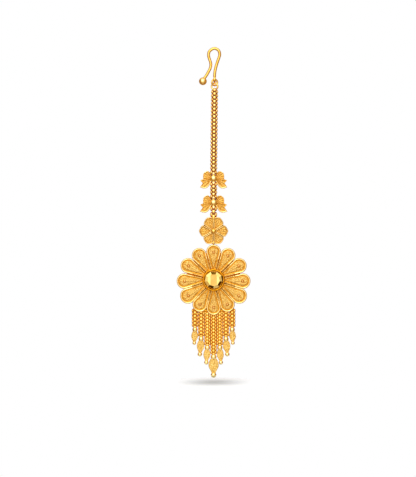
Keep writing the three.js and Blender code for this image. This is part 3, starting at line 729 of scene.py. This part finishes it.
def make_small_flower():
    half_angle = math.pi / SMALL_PETALS
    flower = Form()
    for i, (skew, point, reach) in enumerate(SMALL_ROWS):
        size = (SMALL_ROOT, SMALL_SHOULDER * reach, SMALL_RADIUS * reach, half_angle, SMALL_SEAM)
        one = petal_form(size, SMALL_PROFILE, SMALL_TONES, SMALL_PAD, point, SMALL_STRIPES)
        for spot in one.points:
            spot.x += skew * max(0, (spot.z - SMALL_BEND) / (SMALL_RADIUS - SMALL_BEND))
        flower.merge(one, move(0, 0, SMALL_FLOWER_Z) @ Matrix.Rotation((2 * i + 1) * half_angle, 4, "Y"))
    disc = lathe_y(SMALL_DISC_PROFILE, SMALL_DISC_SIDES, SMALL_DISC_TONES)
    flower.merge(disc, move(0, 0, SMALL_FLOWER_Z))
    finish_piece("small_flower_petals", flower, [RIM_GOLD, GROOVE_SHADE_GOLD, SAND_GOLD], STRAND,
                 ["small_flower"])
    fittings = Form()
    fittings.merge(ball(SMALL_BALL), move(0, SMALL_BALL_Y, SMALL_FLOWER_Z))
    fittings.merge(eye(SMALL_TOP_RISE, 1, SMALL_EYE_ROOT), move(0, 0, SMALL_FLOWER_Z))
    root = link(LINK_WIDTH / 2, ROOT_LINK_HALF_HEIGHT, LINK_BARS, LINK_BANDS)
    fittings.merge(root, move(0, ROOT_LINK_Y, SMALL_FLOWER_Z + SMALL_TOP_RISE - ROOT_LINK_DROP))
    bar = lathe_y(HINGE_BAR_PROFILE, HINGE_BAR_SIDES)
    fittings.merge(bar, move(0, 0, HINGE_Z) @ EDGE_ON)
    finish_piece("small_flower_fittings", fittings, [WIRE_GOLD, CREVICE_SHADE_GOLD], STRAND)


# Wing motifs

WING_SPAN, WING_RISE, WING_FALL = 5.2, 2.77, 3.79
# From the ball over the top to the tip and back below, as shares of the span and of the rise or the fall
WING_OUTLINE = [
    (0.25, 0.23), (0.31, 0.62), (0.34, 0.94), (0.43, 1.0), (0.58, 0.92), (0.74, 0.66), (0.77, 0.1),
    (0.76, -0.06), (0.98, -0.21), (0.8, -0.48), (1.0, -0.89), (0.74, -1.0), (0.56, -0.95), (0.41, -0.77),
    (0.29, -0.5), (0.19, -0.28),
]
# Points of the outline that stay sharp
WING_CORNERS = (0, 2, 7, 8, 9, 10, 15)
WING_SMOOTHING = 7
# Share of the way out from the focus and depth, from the back edge over the rim to the pad
WING_SECTION = [
    (1.0, 0.38), (1.0, -0.24), (0.985, -0.34), (0.955, -0.38), (0.92, -0.32), (0.88, -0.26), (0.8, -0.3),
    (0.65, -0.34), (0.5, -0.37), (0.35, -0.38), (0.2, -0.38), (0.02, -0.38),
]
# Tone 1 is painted shade on the back edge and in the groove inside the rim
WING_TONES = [1, 0, 0, 1, 1, 2, 2, 2, 2, 2, 2]
WING_FOCUS = (0.6, 0, -0.2)
# Veins: their height and number, the shares between which they run, and faces from one dark line of painted
# shade to the next
VEIN_HEIGHT, VEINS, VEIN_START, VEIN_END, VEIN_FACES = 0.12, 22, 0.1, 0.9, 4
WING_PAD_START = 5
# Plate behind the wing's root: its section as distance out and depth, and its heights
WING_ROOT_SECTION = ((0.67, 0.8), (1.7, 0.38), (1.7, 0.3), (0.67, 0.72))
WING_ROOT_HEIGHTS = (-2.0, -1.2, 0, 1.4, 2.3)
# The rolled keel below: its first point in the outline, share of the way out, depth, wire and sides
KEEL_START, KEEL_SHARE, KEEL_Y, KEEL_WIRE, KEEL_SIDES = 10, 0.94, -0.32, 0.54, 10


def wing_form(side):
    """A flat leaf with a raised rim and veins that run out from the ball."""
    points = [Vector((across * WING_SPAN, 0, up * (WING_RISE if up > 0 else WING_FALL)))
              for across, up in WING_OUTLINE]
    outline = []
    for start, stop in zip(WING_CORNERS, WING_CORNERS[1:]):
        outline += smooth_path(points[start:stop + 1], WING_SMOOTHING)[:-1]
    outline.append(points[-1])
    focus = Vector(WING_FOCUS)
    rings = []
    for share, y in WING_SECTION:
        ring = []
        for point in outline:
            drawn = focus + (point - focus) * share
            angle = math.atan2(point.z - focus.z, point.x - focus.x)
            vein = VEIN_HEIGHT * math.cos(VEINS * angle) if VEIN_START < share < VEIN_END else 0
            ring.append(Vector((side * drawn.x, y + vein, drawn.z)))
        rings.append(ring)
    form = Form()
    form.rings(rings, WING_TONES)
    width = len(outline)
    for band in range(WING_PAD_START, len(WING_SECTION) - 1):
        for i in range(0, width, VEIN_FACES):
            form.tones[band * width + i] = 1
    # The plate behind the wing's root takes painted shade
    root = [[Vector((side * x, y, z)) for x, y in WING_ROOT_SECTION] for z in WING_ROOT_HEIGHTS]
    form.rings(root, 1)
    keel = [focus + (point - focus) * KEEL_SHARE for point in points[KEEL_START:]]
    route = [Vector((side * point.x, KEEL_Y, point.z)) for point in smooth_path(keel, WING_SMOOTHING)]
    form.merge(wire_along(route, KEEL_WIRE, KEEL_SIDES))
    return form


def make_wing_motif(name, z):
    """A ball with an eye above and below, and a wing on each side."""
    motif = Form()
    for side in (-1, 1):
        motif.merge(wing_form(side), move(0, 0, z))
    finish_piece(f"wings_{name}", motif, [RIM_GOLD, GROOVE_SHADE_GOLD, SAND_GOLD], STRAND,
                 [f"wing_motif_{name}"])
    middle = ball(WING_BALL)
    middle.merge(eye(WING_BALL / 2, 1))
    middle.merge(eye(-WING_BALL / 2, -1))
    placed = Form()
    placed.merge(middle, move(0, 0, z))
    finish_piece(f"wing_ball_{name}", placed, [BALL_GOLD], STRAND)


# Fringe

def fringe_x(i):
    return (i - (len(DROPS) - 1) / 2) * FRINGE_SPACING


def hanger_eye_z(i):
    return FLOWER_Z - math.sqrt((HANGER_RADIUS + HANGER_EYE_DROP) ** 2 - fringe_x(i) ** 2)


def fringe_top_z(i):
    return hanger_eye_z(i) - HANGER_EYE_RADIUS - HANGER_EYE_WIRE / 2 - CLEARANCE


def shade_outside(one):
    """Paints shade on the outer faces of a link, where two strands meet."""
    for face in range(len(one.tones)):
        side = face % FINE_SIDES
        if min(side, FINE_SIDES - 1 - side) < FINE_SHADED:
            one.tones[face] = 1


def make_fringe_chain(i):
    """Links edge-on and facing by turns, edge-on at both ends, from the bow's eye to the drop's ball."""
    half_height = (FINE_STEP - FINE_OVERLAP) / 2 + FINE_BARS[1]
    top = hanger_eye_z(i) + FRINGE_TOP_REACH - half_height
    foot = fringe_top_z(i) - DROPS[i]["chain"] - CLEARANCE - FRINGE_REACH + half_height
    count = 2 * round((top - foot) / FINE_STEP / 2)
    step = (top - foot) / count
    form = Form()
    for k in range(count + 1):
        faces_front = k % 2 == 1
        depth = FRINGE_END_DEPTH if k == count else FRINGE_DEPTH
        half_width = (FRINGE_WIDTH if faces_front else depth) / 2
        turn = Matrix() if faces_front else EDGE_ON
        one = link(half_width, half_height, FINE_BARS, FINE_BANDS, FINE_STEPS, FINE_SIDES, FINE_BRIGHT_SHARE,
                   FINE_SQUARENESS)
        if faces_front:
            shade_outside(one)
        form.merge(one, move(fringe_x(i), HANGER_Y, top - k * step) @ turn)
    finish_piece(f"fringe_links_{i + 1}", form, [FRINGE_GOLD, SHADE_GOLD], PENDANT,
                 [f"fringe_chain_{i + 1}"])


# Shares of the half width and of the length, from the ball down
LEAF_OUTLINE = [(0.56, 0.0), (0.75, 0.1), (0.93, 0.28), (1.0, 0.46), (0.88, 0.63), (0.6, 0.81), (0.36, 1.0)]
LEAF_SMOOTHING = 5
# Share of the half width and depth, from the back edge over the rim to the middle
LEAF_SECTION = [(1.0, 0.35), (1.0, -0.1), (0.95, -0.26), (0.86, -0.3), (0.78, -0.24), (0.72, -0.2),
                (0.5, -0.28), (0.25, -0.33), (0.0, -0.35)]


def leaf_form(width, length):
    """Rows across the leaf from the ball down: back, rim, groove and a domed middle."""
    path = smooth_path([Vector((across, 0, down)) for across, down in LEAF_OUTLINE], LEAF_SMOOTHING)
    half = LEAF_SECTION + [(-u, y) for u, y in reversed(LEAF_SECTION[:-1])]
    rings = [[(u * spot.x * width / 2, y, -spot.z * length) for u, y in half] for spot in path]
    form = Form()
    form.rings(rings)
    return form


def make_drop(i):
    row = DROPS[i]
    leaf_top = -row["ball"] / 2 + SOLDER_SINK
    end_ball_z = leaf_top - row["leaf_length"] - row["end_ball"] / 2 + SOLDER_SINK
    ball_z = fringe_top_z(i) - row["chain"] - CLEARANCE - row["ball"] / 2
    place = move(fringe_x(i), HANGER_Y, ball_z) @ Matrix.Rotation(math.radians(row["lean"]), 4, "Y")
    beads, leaf = Form(), Form()
    beads.merge(ball(row["ball"]), place)
    beads.merge(ball(row["end_ball"]), place @ move(0, 0, end_ball_z))
    leaf.merge(leaf_form(row["leaf_width"], row["leaf_length"]), place @ move(0, 0, leaf_top))
    finish_piece(f"drop_leaf_{i + 1}", leaf, [SAND_GOLD], PENDANT, [f"leaf_drop_{i + 1}"])
    finish_piece(f"drop_beads_{i + 1}", beads, [BALL_GOLD], PENDANT)


# Studio: floor, backdrop, lights and camera

# Millimetres a pixel of the photo, its rows, and the point in its middle
PIXEL, PHOTO_ROWS = 0.38, 477
FRAME_CENTRE = (-2.13, -71.55)
LENS, SENSOR, CLIP_START, CLIP_END = 200.0, 36.0, 0.01, 20
FRAME_HEIGHT = PHOTO_ROWS * PIXEL
DISTANCE = FRAME_HEIGHT * LENS / SENSOR
ELEVATION = math.radians(2)


def make_camera():
    camera = bpy.data.cameras.new("camera")
    camera.lens, camera.sensor_width = LENS, SENSOR
    camera.clip_start, camera.clip_end = CLIP_START, CLIP_END
    holder = bpy.data.objects.new("camera", camera)
    bpy.context.collection.objects.link(holder)
    aim = Vector((FRAME_CENTRE[0], 0, FRAME_CENTRE[1])) * MM
    holder.location = aim + Vector((0, -math.cos(ELEVATION), math.sin(ELEVATION))) * DISTANCE * MM
    holder.rotation_euler = (math.pi / 2 - ELEVATION, 0, 0)
    bpy.context.scene.camera = holder


FLOOR_Z = -126.4
SHADOW_HALF_WIDTH, SHADOW_HALF_DEPTH, FLOOR_SHARE = 18.0, 20.0, 1.1
FLOOR_TONE, SHADOW_TONE, FLOOR_GLOW = (0.67, 0.76, 0.86, 1), (0.36, 0.41, 0.46, 1), 0.5
FLOOR_SIDES, FLOOR_ROUGHNESS = 64, 0.9


def make_stage():
    """A small oval of pale, glowing floor with a painted shadow: its colour darkens softly to the middle,
    under the drop.
    """
    mesh = bpy.data.meshes.new("studio_floor")
    half_width, half_depth = FLOOR_SHARE * SHADOW_HALF_WIDTH * MM, FLOOR_SHARE * SHADOW_HALF_DEPTH * MM
    edge = [2 * math.pi * i / FLOOR_SIDES for i in range(FLOOR_SIDES)]
    rim = [(half_width * math.cos(angle), half_depth * math.sin(angle), 0) for angle in edge]
    mesh.from_pydata(rim, [], [tuple(range(len(rim)))])
    material = bpy.data.materials.new("pale_floor_painted_shadow")
    material.use_nodes = True
    nodes, links = material.node_tree.nodes, material.node_tree.links
    shader = nodes["Principled BSDF"]
    shader.inputs["Roughness"].default_value = FLOOR_ROUGHNESS
    shader.inputs["Specular IOR Level"].default_value = 0.0
    place = nodes.new("ShaderNodeTexCoord")
    stretch = nodes.new("ShaderNodeMapping")
    stretch.inputs["Scale"].default_value = (1 / (SHADOW_HALF_WIDTH * MM), 1 / (SHADOW_HALF_DEPTH * MM), 1)
    spot = nodes.new("ShaderNodeTexGradient")
    spot.gradient_type = "SPHERICAL"
    tone = nodes.new("ShaderNodeValToRGB")
    tone.color_ramp.interpolation = "EASE"
    tone.color_ramp.elements[0].color, tone.color_ramp.elements[1].color = FLOOR_TONE, SHADOW_TONE
    links.new(place.outputs["Object"], stretch.inputs["Vector"])
    links.new(stretch.outputs["Vector"], spot.inputs["Vector"])
    links.new(spot.outputs["Fac"], tone.inputs["Fac"])
    links.new(tone.outputs["Color"], shader.inputs["Base Color"])
    links.new(tone.outputs["Color"], shader.inputs["Emission Color"])
    shader.inputs["Emission Strength"].default_value = FLOOR_GLOW
    mesh.materials.append(material)
    floor = bpy.data.objects.new("studio_floor", mesh)
    floor.location.z = FLOOR_Z * MM
    bpy.context.collection.objects.link(floor)
    floor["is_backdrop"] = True


# Place, aim and side of the square key light in metres, and its power in watts
KEY_PLACE, KEY_AIM, KEY_SIDE, KEY_POWER = (-0.15, -0.8, 0.4), (0, 0, -0.07), 0.2, 0.8


def make_key_light():
    light = bpy.data.lights.new("key_left", "AREA")
    light.shape = "SQUARE"
    light.size = KEY_SIDE
    light.energy = KEY_POWER
    holder = bpy.data.objects.new("key_left", light)
    holder.location = KEY_PLACE
    holder.rotation_euler = (Vector(KEY_AIM) - Vector(KEY_PLACE)).to_track_quat("-Z", "Y").to_euler()
    bpy.context.collection.objects.link(holder)


# Light from a direction: where the cosine to it passes from start to stop, up to a strength
LIGHT_LOBES = [
    ((-0.15, -0.84, 0.52), 0.5, 0.95, 1.1),
    ((0, -1, 0), 0.3, 0.95, 0.46),
    ((0, 0, 1), 0.3, 0.9, 0.5),
    ((0, 1, 0), 0.96, 0.985, 1.0),
]
WARM_LIGHT, WARM_STRENGTH = (1.0, 0.52, 0.12, 1), 0.42
WHITE = (1, 1, 1, 1)


def make_world():
    """White light from the front, above and behind, over a dim warm light. The camera sees plain white."""
    world = bpy.data.worlds.new("studio")
    bpy.context.scene.world = world
    world.use_nodes = True
    nodes, links = world.node_tree.nodes, world.node_tree.links
    white = nodes["Background"]
    white.inputs["Color"].default_value = WHITE
    warm = nodes.new("ShaderNodeBackground")
    warm.inputs["Color"].default_value = WARM_LIGHT
    warm.inputs["Strength"].default_value = WARM_STRENGTH
    place = nodes.new("ShaderNodeTexCoord")
    total = None
    for direction, start, stop, strength in LIGHT_LOBES:
        cosine = nodes.new("ShaderNodeVectorMath")
        cosine.operation = "DOT_PRODUCT"
        cosine.inputs[1].default_value = direction
        lobe = nodes.new("ShaderNodeMapRange")
        lobe.interpolation_type = "SMOOTHSTEP"
        lobe.inputs["From Min"].default_value, lobe.inputs["From Max"].default_value = start, stop
        lobe.inputs["To Min"].default_value, lobe.inputs["To Max"].default_value = 0, strength
        links.new(place.outputs["Generated"], cosine.inputs[0])
        links.new(cosine.outputs["Value"], lobe.inputs["Value"])
        if total:
            add = nodes.new("ShaderNodeMath")
            links.new(total, add.inputs[0])
            links.new(lobe.outputs["Result"], add.inputs[1])
            total = add.outputs["Value"]
        else:
            total = lobe.outputs["Result"]
    links.new(total, white.inputs["Strength"])
    both = nodes.new("ShaderNodeAddShader")
    links.new(white.outputs["Background"], both.inputs[0])
    links.new(warm.outputs["Background"], both.inputs[1])
    seen = nodes.new("ShaderNodeBackground")
    seen.inputs["Color"].default_value = WHITE
    path = nodes.new("ShaderNodeLightPath")
    backdrop = nodes.new("ShaderNodeMixShader")
    links.new(path.outputs["Is Camera Ray"], backdrop.inputs["Fac"])
    links.new(both.outputs["Shader"], backdrop.inputs[1])
    links.new(seen.outputs["Background"], backdrop.inputs[2])
    links.new(backdrop.outputs["Shader"], nodes["World Output"].inputs["Surface"])
    bpy.context.scene.view_settings.view_transform = "Standard"


make_world()
make_camera()
make_stage()
make_key_light()
make_hook()
make_main_chain()
make_wing_motif("upper", UPPER_WING_Z)
make_wing_motif("lower", LOWER_WING_Z)
make_small_flower()
make_main_flower()
for index in range(len(DROPS)):
    make_fringe_chain(index)
    make_drop(index)


def plain(value):
    return [plain(item) for item in value] if hasattr(value, "__len__") else float(value)


{"cad": plain(cad_bounds), "visual": plain(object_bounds())}
